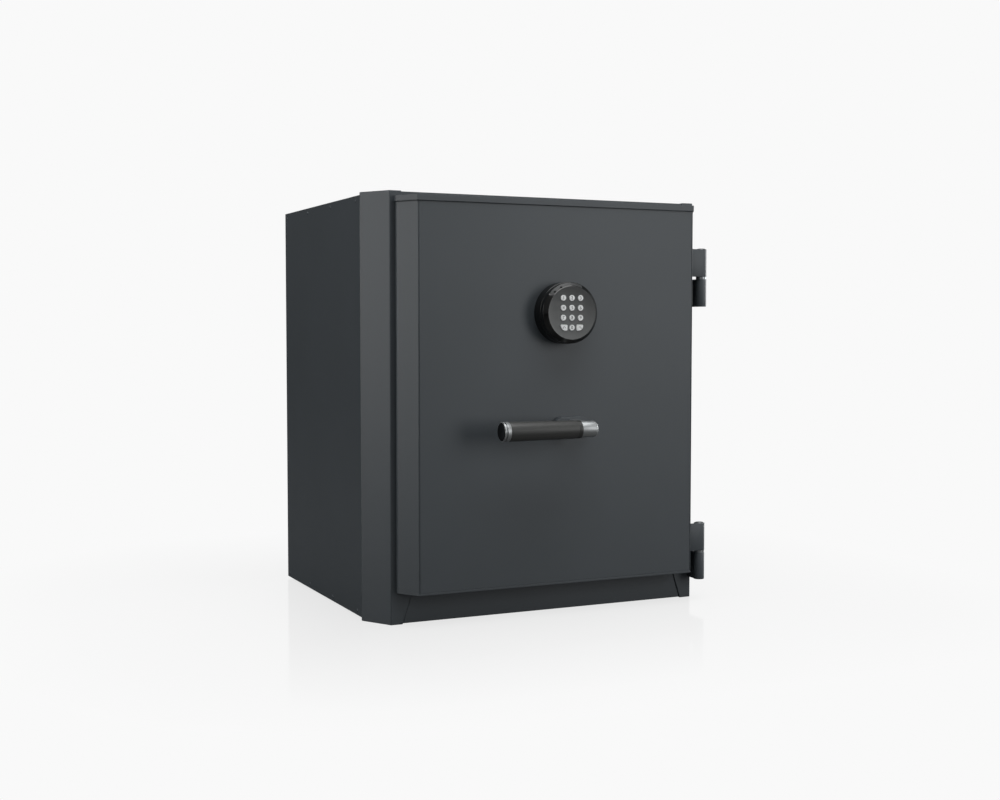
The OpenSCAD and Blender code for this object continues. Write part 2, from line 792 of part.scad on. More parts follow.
module cover_screws() color(satin_metal) for (p = screw_places()) {
    rod_y(p[0], p[1], [cover_y0 - case_t - 2, case_y1], screw_r);
    rod_y(p[0], p[1], [case_y1, case_y1 + screw_head_h], screw_head_r);
}

module hinge_side_strip() color(bare_steel)
    block([case_x, open_x + strip_hook], [strip_y0, strip_y1],
          [mid_z - strip_len / 2, mid_z + strip_len / 2]);

// ---------- Boltwork ----------

// Involute of the angle a, in degrees
function involute(a) = tan(a) * 180 / PI - a;

// Half the angle that a tooth of the pinion spans at radius r
function tooth_half_angle(r) =
    let (base_r = pitch_r * cos(pressure_angle))
    90 / pinion_teeth - backlash / 4 / pitch_r * 180 / PI
    + involute(pressure_angle) - involute(acos(base_r / max(r, base_r)));

module pinion_outline() {
    root_r = pitch_r - dedendum;
    tip_r = pitch_r + gear_module;
    steps = 6;
    radii = [for (i = [0 : steps]) root_r + i * (tip_r - root_r) / steps];
    polygon([
        for (t = [0 : pinion_teeth - 1], side = [-1, 1], i = [0 : steps])
            let (r = radii[side < 0 ? i : steps - i],
                 a = 90 + t * 360 / pinion_teeth + side * tooth_half_angle(r))
            [r * cos(a), r * sin(a)]
    ]);
}

module rack_outline() {
    tooth_pitch = PI * gear_module;
    half = (tooth_pitch / 2 - backlash / 2) / 2;
    tip = half - rack_addendum * tan(pressure_angle);
    root = half + dedendum * tan(pressure_angle);
    for (i = [-2 : ceil(throw / tooth_pitch) + 1])
        translate([spindle_x + (i + 0.5) * tooth_pitch, rack_z])
            polygon([[-root, dedendum + cut], [-root, dedendum], [-tip, -rack_addendum],
                     [tip, -rack_addendum], [root, dedendum], [root, dedendum + cut]]);
}

module guide_slot(z) {
    r = stud_r + run_fit;
    hull_end = stud_x + throw + 0.5;
    rod_y(stud_x - 0.5, z, [plate_y0 - cut, plate_y1 + cut], r);
    rod_y(hull_end, z, [plate_y0 - cut, plate_y1 + cut], r);
    block([stud_x - 0.5, hull_end], [plate_y0 - cut, plate_y1 + cut], [z - r, z + r]);
}

function arm_heights() = [low_arm_z, rack_z + dedendum + arm_w / 2, top_arm_z];

module bolt_carriage() color(bare_steel) {
    reach = (bolt_count - 1) / 2 * bolt_pitch + bolt_r + 15;
    plate_z = [mid_z - reach, max(mid_z + reach, top_arm_z + arm_w / 2)];
    rack_end = spindle_x + throw + pitch_r;
    difference() {
        union() {
            block([flange_x, flange_x + flange_t], [bolt_depth - bolt_r - 2, plate_y1],
                  plate_z);
            block([flange_x, flange_x + plate_w], [plate_y0, plate_y1], plate_z);
            for (z = arm_heights())
                block([flange_x, stud_x + throw + arm_past_slot], [plate_y0, plate_y1],
                      [z - arm_w / 2, z + arm_w / 2]);
            block([flange_x, rack_end], [plate_y0, plate_y1],
                  [rack_z + dedendum, rack_z + dedendum + arm_w]);
            block([flange_x, tab_x + tab_w], [plate_y0, plate_y1],
                  [top_arm_z - arm_w / 2, top_arm_z + arm_w / 2]);
            block([tab_x, tab_x + tab_w], [lock_bolt_y - lock_bolt_d / 2, plate_y1],
                  [lock_top() + 4, top_arm_z + arm_w / 2]);
            facing_shape([plate_y0, plate_y1]) rack_outline();
        }
        for (z = arm_heights()) guide_slot(z);
        bolt_rows() rod_x(bolt_depth, 0, [flange_x - cut, flange_x + flange_t + cut], bolt_r / 2);
    }
}

module throw_bolts() color(satin_metal) bolt_rows() {
    rod_x(bolt_depth, 0, [bolt_tip_x + 1, flange_x], bolt_r);
    place_front() translate([bolt_tip_x, bolt_depth, 0]) rotate([0, 90, 0])
        cylinder(h = 1, r1 = bolt_r - 1, r2 = bolt_r);
    rod_x(bolt_depth, 0, [flange_x, flange_x + flange_t + 8], bolt_r / 2);
    place_front() translate([flange_x + flange_t, bolt_depth, 0]) rotate([0, 90, 0])
        cylinder(h = 6, r = bolt_r * 0.85, $fn = 6);
}

module carriage_studs() color(bare_steel) for (z = arm_heights()) {
    rod_y(stud_x, z, [door_y1, plate_y1 + move_gap], stud_r);
    rod_y(stud_x, z, [plate_y1 + move_gap, plate_y1 + move_gap + 3], stud_r + 3);
}

module lock_body() color(dark_steel) difference() {
    block([-lock_w / 2, lock_w / 2], [door_y1, door_y1 + lock_d], [lock_z0, lock_top()]);
    x = lock_bolt_w / 2 + move_gap;
    y = lock_bolt_d / 2 + move_gap;
    block([-x, x], [lock_bolt_y - y, lock_bolt_y + y],
          [lock_top() + lock_bolt_rise - lock_bolt_len - 1, lock_top() + cut]);
}

module lock_bolt() color(satin_metal)
    block([-lock_bolt_w / 2, lock_bolt_w / 2],
          [lock_bolt_y - lock_bolt_d / 2, lock_bolt_y + lock_bolt_d / 2],
          [lock_top() + lock_bolt_rise - lock_bolt_len, lock_top() + lock_bolt_rise]);

// ---------- Handle ----------

module handle_rosette() color(anthracite) {
    end = (rosette_len - rosette_h) / 2;
    difference() {
        union() {
            facing_shape([rosette_y, door_y0]) translate([spindle_x, spindle_z])
                square([2 * end, rosette_h], center = true);
            for (side = [-1, 1])
                rod_y(spindle_x + side * end, spindle_z, [rosette_y, door_y0], rosette_h / 2);
        }
        rod_y(spindle_x, spindle_z, [rosette_y - cut, door_y0 + cut], spindle_r + 0.5);
    }
}

module spindle_bush() color("#b08d4a") difference() {
    rod_y(spindle_x, spindle_z, [door_y0, door_y1 + 3], spindle_r + bush_wall);
    rod_y(spindle_x, spindle_z, [door_y0 - cut, door_y1 + 3 + cut], spindle_r + run_fit);
}

// Puts what is turned about +Z on the lever's axis, growing from x towards the hinges
module on_lever(x) place_front() translate([x, grip_y, spindle_z]) rotate([0, 90, 0]) children();

// Tube with a rounded inner end, on a leg that stands on the spindle
module lever_neck() color(satin_metal) {
    neck_y1 = rosette_y - move_gap;
    neck_x0 = sleeve_x0 + sleeve_len;
    neck_len = spindle_x + leg_r + 1 - neck_x0;
    difference() {
        union() {
            rod_y(spindle_x, spindle_z, [grip_y, neck_y1], leg_r);
            on_lever(neck_x0) rotate_extrude() polygon([
                [0, 0], [tube_r, 0],
                for (k = [0 : 5]) [
                    tube_r - tube_round * (1 - cos(18 * k)),
                    neck_len - tube_round * (1 - sin(18 * k))
                ],
                [0, neck_len]
            ]);
        }
        rod_y(spindle_x, spindle_z, [spindle_y0, neck_y1 + cut], spindle_r);
    }
    rod_x(grip_y, spindle_z, [core_x0, neck_x0], core_r);
}

function sleeve_r_at(x) = sleeve_r - sleeve_taper * (x - sleeve_x0) / sleeve_len;

// Fine grooves near the inner end of the sleeve
module sleeve_grooves() {
    for (i = [1 : 3]) difference() {
        x = sleeve_x0 + sleeve_len - i * groove_pitch;
        rod_x(grip_y, spindle_z, [x, x + groove], sleeve_r + cut);
        rod_x(grip_y, spindle_z, [x - cut, x + groove + cut], sleeve_r_at(x) - groove / 2);
    }
}

module grip_sleeve() color(warm_dark) difference() {
    on_lever(sleeve_x0) cylinder(h = sleeve_len, r1 = sleeve_r, r2 = sleeve_r - sleeve_taper);
    rod_x(grip_y, spindle_z, [sleeve_x0 - cut, sleeve_x0 + sleeve_len + cut], core_r);
    sleeve_grooves();
}

// Two rings with a shadow gap between them
module grip_end_cap() color(satin_metal) difference() {
    rod_x(grip_y, spindle_z, [grip_end_x, sleeve_x0], sleeve_r);
    rod_x(grip_y, spindle_z, [core_x0, sleeve_x0 + cut], core_r);
    difference() {
        x = grip_end_x + end_cap_len / 2 - groove;
        rod_x(grip_y, spindle_z, [x, x + 2 * groove], sleeve_r + cut);
        rod_x(grip_y, spindle_z, [x - cut, x + 2 * groove + cut], sleeve_r - 2 * groove);
    }
}

module spindle() color(bare_steel)
    rod_y(spindle_x, spindle_z, [spindle_y0, plate_y1 + 5], spindle_r);

module pinion() color(bare_steel) {
    y = [plate_y0 - pinion_gap, plate_y0 - pinion_gap + pinion_t];
    difference() {
        facing_shape(y) translate([spindle_x, spindle_z]) pinion_outline();
        rod_y(spindle_x, spindle_z, [y[0] - cut, y[1] + cut], spindle_r);
    }
}

// ---------- Keypad ----------

// Puts what is turned about +Z on the keypad's axis, growing forwards from depth y
module on_keypad(y) place_front() translate([0, y, keypad_z]) rotate([90, 0, 0]) children();

// Round base with a rounded front edge
module keypad_base() color(black_plastic) difference() {
    on_keypad(door_y0) rotate_extrude() polygon([
        [0, 0], [keypad_base_r, 0],
        for (k = [0 : 4]) [
            keypad_base_r - keypad_edge * (1 - cos(22.5 * k)),
            keypad_base_d - keypad_edge * (1 - sin(22.5 * k))
        ],
        [0, keypad_base_d]
    ]);
    rod_y(0, keypad_z, [housing_y1 - cut, door_y0 + cut], cable_r);
}

// Height of the sloping rim above the back of the front housing, at radius r
function rim_top(r) = keypad_front_d - rim_slope * (r - face_r - rim_lip)
                                       / (keypad_r - face_r - rim_lip);

// Light window: a strip of the sloping rim, between two radii and two angles
module window_strip() {
    r0 = face_r + rim_lip + window_margin;
    r1 = keypad_r - window_margin;
    on_keypad(housing_y1) rotate([0, 0, window_from])
        rotate_extrude(angle = window_to - window_from) polygon([
            [r0, rim_top(r0) - window_t], [r1, rim_top(r1) - window_t],
            [r1, rim_top(r1)], [r0, rim_top(r0)]
        ]);
}

module keypad_housing() color(black_plastic) difference() {
    on_keypad(housing_y1) rotate_extrude() polygon([
        [0, 0], [keypad_r, 0], [keypad_r, rim_top(keypad_r)],
        [face_r + rim_lip, keypad_front_d], [0, keypad_front_d]
    ]);
    rod_y(0, keypad_z, [housing_y0 - cut, housing_floor_y], face_r);
    rod_y(0, keypad_z, [housing_y0, housing_y1 + cut], cable_r);
    window_strip();
}

module keypad_light_bar() color("#6f7274") window_strip();

// Corner arcs, anticlockwise from the top right: radii r for the corners of a w by h box
function round_box(w, h, r) = [
    for (c = [0 : 3], k = [0 : 5])
        let (sx = c == 0 || c == 3 ? 1 : -1, sz = c < 2 ? 1 : -1, a = 90 * (c + k / 5))
        [sx * (w / 2 - r[c]) + r[c] * cos(a), sz * (h / 2 - r[c]) + r[c] * sin(a)]
];

// Outline of the key at a column and a row, grown all round
module key_outline(column, row, grow) {
    if (row == 3 && column != 0) {
        big = wide_key_corner + grow;
        small = wide_key_round + grow;
        translate([column * (wide_key_inner + wide_key_w / 2), key_z(row)])
            polygon(round_box(wide_key_w + 2 * grow, wide_key_h + 2 * grow,
                              column < 0 ? [small, small, big, small]
                                         : [small, small, small, big]));
    } else {
        translate([column * key_pitch_x, key_z(row)]) circle(r = key_r + grow);
    }
}

function key_z(row) = key_rows_z + (1.5 - row) * key_pitch_z;

module keypad_face() color(grey_face) difference() {
    on_keypad(face_back_y) rotate_extrude() polygon([
        [0, 0], [face_r, 0], [face_r, face_t + face_dish],
        [face_flat_r + (face_r - face_flat_r) / 2, face_t + face_dish * 0.4],
        [face_flat_r, face_t], [0, face_t]
    ]);
    for (column = [-1 : 1], row = [0 : 3])
        facing_shape([face_y - cut, face_back_y + cut]) key_outline(column, row, move_gap);
}

module key(column, row) color(key_grey) {
    facing_shape([key_front_y, key_back_y]) key_outline(column, row, 0);
    facing_shape([key_back_y, key_back_y + key_flange_t]) key_outline(column, row, key_flange);
}

module key_1() key(-1, 0);
module key_2() key(0, 0);
module key_3() key(1, 0);
module key_4() key(-1, 1);
module key_5() key(0, 1);
module key_6() key(1, 1);
module key_7() key(-1, 2);
module key_8() key(0, 2);
module key_9() key(1, 2);
module key_clear() key(-1, 3);
module key_0() key(0, 3);
module key_enter() key(1, 3);

side_panel_left();
side_panel_right();
top_panel();
bottom_panel();
back_panel();
barrier_fill();
inner_liner();
frame_upright_left();
frame_upright_right();
frame_top_rail();
frame_bottom_rail();
fire_seal();
shelf();
shelf_clips();
anchor_sleeve();
rear_base_strip();
hinge_top_frame_half();
hinge_bottom_frame_half();
hinge_pins();
hinge_washers();
door_skin();
door_top_cap();
door_bottom_cap();
door_barrier();
door_back_plate();
boltwork_case();
boltwork_cover();
cover_screws();
hinge_side_strip();
drill_plate();
hinge_top_door_half();
hinge_bottom_door_half();
lock_body();
keypad_base();
keypad_housing();
keypad_face();
keypad_light_bar();
handle_rosette();
spindle_bush();
carriage_studs();
bolt_carriage();
throw_bolts();
lever_neck();
grip_sleeve();
grip_end_cap();
spindle();
pinion();
lock_bolt();
key_1();
key_2();
key_3();
key_4();
key_5();
key_6();
key_7();
key_8();
key_9();
key_clear();
key_0();
key_enter();
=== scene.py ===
# %% [markdown]
# # A safe deposit box
# This is a small free-standing safe. A sheet steel cabinet carries a door frame with
# chamfered sides, and a thick door with bevelled sides hangs in front of it on two
# welded hinges. A round keypad and a lever handle sit on the door. The solids come
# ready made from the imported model. This script gives them soft edges and real
# finishes, adds the small parts that only the eye needs, and puts the safe in a plain
# studio.

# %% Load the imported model
import json
import math

import bmesh
import bpy
from mathutils import Matrix, Vector


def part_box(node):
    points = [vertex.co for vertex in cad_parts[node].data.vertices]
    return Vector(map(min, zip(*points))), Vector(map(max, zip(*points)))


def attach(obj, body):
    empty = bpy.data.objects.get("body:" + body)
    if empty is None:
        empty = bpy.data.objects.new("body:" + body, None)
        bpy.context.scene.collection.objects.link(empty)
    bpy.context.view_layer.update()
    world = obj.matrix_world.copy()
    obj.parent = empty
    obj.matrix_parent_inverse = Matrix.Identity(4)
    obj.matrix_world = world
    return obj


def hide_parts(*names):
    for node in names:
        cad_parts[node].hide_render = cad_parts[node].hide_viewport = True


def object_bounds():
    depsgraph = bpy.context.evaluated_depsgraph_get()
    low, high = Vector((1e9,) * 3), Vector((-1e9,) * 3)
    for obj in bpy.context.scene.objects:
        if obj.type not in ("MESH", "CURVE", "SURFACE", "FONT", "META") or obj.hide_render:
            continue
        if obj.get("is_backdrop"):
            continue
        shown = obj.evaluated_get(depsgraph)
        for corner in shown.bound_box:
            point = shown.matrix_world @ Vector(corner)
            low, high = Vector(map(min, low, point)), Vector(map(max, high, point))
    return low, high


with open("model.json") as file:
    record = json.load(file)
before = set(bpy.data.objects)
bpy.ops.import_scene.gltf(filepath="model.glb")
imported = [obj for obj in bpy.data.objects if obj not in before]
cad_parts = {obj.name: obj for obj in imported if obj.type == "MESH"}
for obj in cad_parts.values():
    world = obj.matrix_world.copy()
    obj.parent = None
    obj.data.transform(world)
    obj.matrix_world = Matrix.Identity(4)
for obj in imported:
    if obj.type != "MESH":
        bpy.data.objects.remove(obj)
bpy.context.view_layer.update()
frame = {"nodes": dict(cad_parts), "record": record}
record = frame["record"]

# %% [markdown]
# ## Sizes
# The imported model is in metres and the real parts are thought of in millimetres, so one
# constant turns the one into the other. Depths on the door are easiest to read from the
# front plane of the door frame, which lies half the cabinet's depth in front of the
# origin.

# %% Units and the places that the small parts need
MM = 0.001
FRAME_FRONT = -209 * MM
KEYPAD_CENTRE = Vector((0, 0, 433 * MM))
GRIP_AXIS = Vector((0, FRAME_FRONT - 96 * MM, 271.5 * MM))

body_of_node = {
    node: body
    for body, nodes in record["behaviour"]["bodies"].items()
    for node in nodes
}
slot_of_node = {part["node"]: part["material_slot"] for part in record["subparts"]}
print(len(body_of_node), "nodes in", len(set(slot_of_node.values())), "finishes")

# %% [markdown]
# ## Camera
# The photograph was taken from the left, a little above the middle of the safe, with a
# normal lens. The frame's upright edges run almost parallel, so the camera looks only
# three degrees down.

# %% Camera
camera_data = bpy.data.cameras.new("studio_camera")
camera_data.sensor_width = 36
camera_data.lens = 49.75
camera = bpy.data.objects.new("studio_camera", camera_data)
camera.location = (-0.9122, -1.9905, 0.4125)
camera.rotation_euler = (math.radians(87.0), 0, math.radians(-25.11))
bpy.context.scene.collection.objects.link(camera)
bpy.context.scene.camera = camera
bpy.context.scene.view_settings.view_transform = "Standard"
print("camera is", round(camera.location.length, 2), "m away")

# %% [markdown]
# ## Helpers for materials
# Colours are picked as sRGB hex values, as a paint chart gives them, and the shader
# wants linear light. A pattern is described by the real size of one of its cells. Every
# node is added by one function that takes its settings, its values and its links.


# %% Colour, scale and node helpers
def colour(hex_code):
    """Linear colour of an sRGB hex value such as #45494c."""
    parts = [int(hex_code[i : i + 2], 16) / 255 for i in (1, 3, 5)]
    linear = [
        c / 12.92 if c <= 0.04045 else ((c + 0.055) / 1.055) ** 2.4 for c in parts
    ]
    return (*linear, 1.0)


def cells_of(size_mm):
    """Scale of a texture with cells size_mm wide, on Object coordinates in metres."""
    return 1000 / size_mm


def add_node(tree, kind, values=None, links=None, **settings):
    """One node, with its settings, the values of its sockets and the links into it."""
    node = tree.nodes.new(kind)
    for name, value in settings.items():
        setattr(node, name, value)
    for socket, value in (values or {}).items():
        node.inputs[socket].default_value = value
    for socket, source in (links or {}).items():
        tree.links.new(source, node.inputs[socket])
    return node


def start_finish(name, **sockets):
    """A material with its shader's sockets set, its tree and its Object coordinates."""
    material = bpy.data.materials.new(name)
    material.use_nodes = True
    tree = material.node_tree
    shader = tree.nodes["Principled BSDF"]
    for socket, value in sockets.items():
        shader.inputs[socket.replace("_", " ")].default_value = value
    place = add_node(tree, "ShaderNodeTexCoord").outputs["Object"]
    return material, tree, shader, place


print("a 2 mm pattern has scale", cells_of(2))

# %% [markdown]
# Most finishes are a pattern that is shown in up to three ways: it moves the colour
# between two tones, it moves the roughness between two values, or it stands out of the
# surface as a bump.


# %% Patterns and the ways they show
def noise(tree, place, cell_mm, detail, roughness=0.5):
    """A cloudy pattern with cells of a given size."""
    clouds = add_node(
        tree,
        "ShaderNodeTexNoise",
        {"Scale": cells_of(cell_mm), "Detail": detail, "Roughness": roughness},
        {"Vector": place},
    )
    return clouds.outputs["Fac"]


def fade(tree, value, start, end, first, last):
    """Goes from first to last while a value goes from start to end."""
    ramp = add_node(
        tree,
        "ShaderNodeMapRange",
        {"From Min": start, "From Max": end, "To Min": first, "To Max": last},
        {"Value": value},
    )
    return ramp.outputs["Result"]


def tint(tree, shader, pattern, first, second):
    """Moves the base colour between two sRGB hex values by a pattern."""
    tone = add_node(
        tree,
        "ShaderNodeMix",
        {"A": colour(first), "B": colour(second)},
        {"Factor": pattern},
        data_type="RGBA",
    )
    tree.links.new(tone.outputs["Result"], shader.inputs["Base Color"])


def haze(tree, shader, pattern, smoothest, roughest):
    """Moves the roughness between two values by a pattern."""
    rough = fade(tree, pattern, 0.0, 1.0, smoothest, roughest)
    tree.links.new(rough, shader.inputs["Roughness"])


def emboss(tree, shader, pattern, strength, depth_mm):
    """Lets a pattern stand out of the surface by up to depth_mm."""
    relief = add_node(
        tree,
        "ShaderNodeBump",
        {"Strength": strength, "Distance": depth_mm * MM},
        {"Height": pattern},
    )
    tree.links.new(relief.outputs["Normal"], shader.inputs["Normal"])


# %% [markdown]
# ## Powder coat
# The cabinet and the door are polyester powder coat on sheet steel. The powder melts
# and flows in the oven, but not quite flat, which leaves a fine orange peel with cells
# of about two millimetres. The coat is satin: highlights are broad and soft. It is not
# one even colour either, because its thickness drifts over the sheet. A fine noise as
# bump gives the peel, and a very broad noise moves the colour by a hair.

# %% Powder coat
powder_coat, tree, shader, place = start_finish(
    "satin_powder_coat", Roughness=0.46, IOR=1.5
)
drift = noise(tree, place, 180, detail=3.0, roughness=0.55)
tint(tree, shader, drift, "#40464a", "#474d52")
peel = noise(tree, place, 2.2, detail=2.0)
emboss(tree, shader, peel, 0.35, 0.03)
print("powder coat ready")

# %% [markdown]
# ## Primer
# The liner, the shelf, the boltwork case and the back of the door only get a matt
# primer, sprayed on. It has no flow at all, so it is rougher and drier than the powder
# coat, with a faint mottle from the spray gun.

# %% Primer
primer, tree, shader, place = start_finish(
    "sprayed_matt_primer", Roughness=0.68, IOR=1.45
)
mottle = noise(tree, place, 35, detail=6.0, roughness=0.6)
tint(tree, shader, mottle, "#2e3338", "#3b4147")
dust = noise(tree, place, 0.9, detail=2.0)
emboss(tree, shader, dust, 0.3, 0.03)
print("primer ready")

# %% [markdown]
# ## Plated and bare metal
# Four finishes share one idea: a metal's colour is its reflection, and its roughness
# says how it was made. Satin chrome is brushed before plating, so it has fine parallel
# lines. Zinc plate is cloudy, because the bath leaves patches. Turned and milled steel
# shows the tool's feed marks. A sintered bronze bush is porous and holds oil in dark
# pores. The lines are noise squeezed along one axis, a little coarser than in life so
# that they show.

# %% Satin chrome
satin_chrome, tree, shader, place = start_finish(
    "satin_chrome_plate", Base_Color=colour("#aaadae"), Metallic=1.0
)
squeeze = add_node(
    tree, "ShaderNodeMapping", {"Scale": (1.0, 0.06, 0.06)}, {"Vector": place}
)
brushing = noise(tree, squeeze.outputs["Vector"], 0.35, detail=3.0, roughness=0.6)
haze(tree, shader, brushing, 0.42, 0.52)
emboss(tree, shader, brushing, 0.15, 0.01)

# %% Zinc plate
zinc_plate, tree, shader, place = start_finish(
    "bright_zinc_plate", Base_Color=colour("#a9aeb2"), Metallic=1.0
)
cloud = noise(tree, place, 12, detail=5.0, roughness=0.65)
haze(tree, shader, cloud, 0.28, 0.5)

# %% Machined steel
machined_steel, tree, shader, place = start_finish(
    "milled_bare_steel", Base_Color=colour("#8e9193"), Metallic=1.0
)
feed = add_node(
    tree,
    "ShaderNodeTexWave",
    {"Scale": cells_of(3), "Distortion": 0.6, "Detail": 2.0, "Detail Scale": 2.0},
    {"Vector": place},
    bands_direction="Z",
)
haze(tree, shader, feed.outputs["Fac"], 0.3, 0.42)

# %% Sintered bronze
sintered_bronze, tree, shader, place = start_finish(
    "sintered_bronze", Metallic=1.0, Roughness=0.5
)
pores = add_node(
    tree, "ShaderNodeTexVoronoi", {"Scale": cells_of(0.6)}, {"Vector": place}
)
tint(tree, shader, pores.outputs["Distance"], "#6f552c", "#a98a52")
print("metals ready")

# %% [markdown]
# ## Plastics
# The keypad's body is injection moulded ABS from a polished mould: black, and glossy
# enough to draw a thin line of light along its rim. The face is a grey satin moulding,
# the keys are pale and a little glossy, and the light window is smoked. The grip's
# sleeve is a dark plastic with a soft touch: matt, with a broad sheen along its top.


# %% Moulded plastics
def moulded_plastic(name, base, roughness, grain_mm, depth_mm):
    """Injection moulded plastic with the even grain of its mould."""
    material, tree, shader, place = start_finish(
        name, Base_Color=colour(base), Roughness=roughness, IOR=1.53
    )
    grain = noise(tree, place, grain_mm, detail=1.0)
    emboss(tree, shader, grain, 0.4, depth_mm)
    return material


black_abs = moulded_plastic("glossy_black_abs", "#090a0a", 0.2, 1.2, 0.003)
grey_face = moulded_plastic("satin_grey_face", "#595b5b", 0.55, 0.4, 0.012)
key_plastic = moulded_plastic("pale_key_plastic", "#f2f4f4", 0.38, 0.6, 0.006)
smoked_window = moulded_plastic("smoked_window", "#2b2d2e", 0.5, 1.5, 0.002)
soft_grip = moulded_plastic("soft_touch_grip", "#393a39", 0.46, 0.45, 0.02)
dark_lens = moulded_plastic("dark_lamp_lens", "#010101", 0.6, 1.0, 0.001)
legend_ink = moulded_plastic("dark_legend_ink", "#161717", 0.6, 0.3, 0.002)

lens_shader = dark_lens.node_tree.nodes["Principled BSDF"]
lens_shader.inputs["Specular IOR Level"].default_value = 0.1

# %% [markdown]
# The keypad's face is dished. Its flat solid gets a bump whose height is the squared
# distance from the keypad's centre times a curvature, so that its upper part looks away
# from the light and darkens.

# %% The dish of the keypad's face
DISH_CURVATURE = 3.6
ON_THE_DOOR = (1, 0, 1)

tree = grey_face.node_tree
off_centre = add_node(
    tree,
    "ShaderNodeVectorMath",
    {1: KEYPAD_CENTRE * Vector(ON_THE_DOOR)},
    {0: tree.nodes["Texture Coordinate"].outputs["Object"]},
    operation="SUBTRACT",
)
flat = add_node(
    tree,
    "ShaderNodeVectorMath",
    {1: ON_THE_DOOR},
    {0: off_centre.outputs["Vector"]},
    operation="MULTIPLY",
).outputs["Vector"]
rise = add_node(
    tree, "ShaderNodeVectorMath", links={0: flat, 1: flat}, operation="DOT_PRODUCT"
)
dish = add_node(
    tree,
    "ShaderNodeBump",
    {"Strength": 1.0, "Distance": DISH_CURVATURE},
    {"Height": rise.outputs["Value"]},
)
tree.links.new(dish.outputs["Normal"], tree.nodes["Bump"].inputs["Normal"])
print("plastics ready")

# %% [markdown]
# ## Concrete and seal
# The fire barrier is cast concrete with steel fibres, seen only where a panel leaves it
# bare. Its grey has sand grains of about a millimetre and larger stones. The fire seal
# is an extruded strip that swells in heat: black, dull and slightly ribbed.

# %% Concrete
concrete, tree, shader, place = start_finish("cast_barrier_concrete", Roughness=0.92)
stones = add_node(
    tree, "ShaderNodeTexVoronoi", {"Scale": cells_of(7)}, {"Vector": place}
)
sand = noise(tree, place, 1.2, detail=4.0)
mixed = add_node(
    tree,
    "ShaderNodeMath",
    links={0: stones.outputs["Distance"], 1: sand},
    operation="MULTIPLY",
).outputs[0]
tint(tree, shader, mixed, "#77756f", "#a3a19b")
emboss(tree, shader, mixed, 0.6, 0.3)

# %% Fire seal
fire_seal, tree, shader, place = start_finish(
    "extruded_fire_seal", Base_Color=colour("#1d1e1f"), Roughness=0.72
)
ribs = add_node(
    tree,
    "ShaderNodeTexWave",
    {"Scale": cells_of(8), "Distortion": 0.0},
    {"Vector": place},
    bands_direction="DIAGONAL",
)
emboss(tree, shader, ribs.outputs["Fac"], 0.3, 0.1)
print("concrete and seal ready")

# %% [markdown]
# ## A finish for every solid
# The record names a finish for each node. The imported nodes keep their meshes, and only
# the material in their first slot is changed.

# %% Dress the nodes
FINISHES = {
    "powder_coat_anthracite": powder_coat,
    "primed_steel": primer,
    "zinc_plated_steel": zinc_plate,
    "satin_chrome": satin_chrome,
    "machined_steel": machined_steel,
    "bronze_bush": sintered_bronze,
    "black_abs": black_abs,
    "grey_face": grey_face,
    "key_plastic": key_plastic,
    "smoked_window": smoked_window,
    "grip_plastic": soft_grip,
    "barrier_concrete": concrete,
    "seal_strip": fire_seal,
}
for name, node in frame["nodes"].items():
    finish = FINISHES[slot_of_node[name]]
    if node.material_slots:
        node.material_slots[0].material = finish
    else:
        node.data.materials.append(finish)
print("dressed", len(frame["nodes"]), "nodes")

# %% [markdown]
# ## Soft edges
# No real edge is a perfect corner. A folded sheet has a bend radius, a cut edge is
# dressed with a file, and paint rounds both. A thin line of light along each edge is
# what makes sheet steel look like steel. The solids have sharp corners, so each visible
# one is copied, its loose triangles are merged into whole faces, and its outward
# corners are bevelled with three segments. Only the new strips and the round walls are
# shaded smooth, so that the flat sheets stay flat. Corners that are shorter than a
# limit are left alone, because the rims of small holes would be eaten up.

# %% Angles that tell flat, round and sharp apart
FLAT = math.radians(0.3)
CORNER = math.radians(20)
SHARP_IN_SHEET = math.radians(42)
SHARP_IN_TURNED = math.radians(40)


# %% Rounding helpers
def piece_from(mesh, name, body, material):
    """Turns a bmesh into an object at the origin that rides on a body."""
    data = bpy.data.meshes.new(name)
    mesh.to_mesh(data)
    mesh.free()
    data.materials.append(material)
    piece = bpy.data.objects.new(name, data)
    bpy.context.scene.collection.objects.link(piece)
    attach(piece, body)
    return piece


def shade_below(mesh, sharp):
    """Shades an edge smooth where its faces turn by less than the sharp angle."""
    mesh.normal_update()
    for edge in mesh.edges:
        edge.smooth = abs(edge.calc_face_angle(0)) < sharp


def merged_copy(node_name):
    """A node's loose triangles as whole faces, with its round walls marked smooth."""
    mesh = bmesh.new()
    mesh.from_mesh(frame["nodes"][node_name].data)
    bmesh.ops.remove_doubles(mesh, verts=mesh.verts, dist=0.002 * MM)
    bmesh.ops.dissolve_limit(
        mesh, angle_limit=FLAT, verts=mesh.verts, edges=mesh.edges
    )
    mesh.normal_update()
    for face in mesh.faces:
        face.smooth = any(
            FLAT < abs(edge.calc_face_angle(0)) < CORNER for edge in face.edges
        )
    return mesh


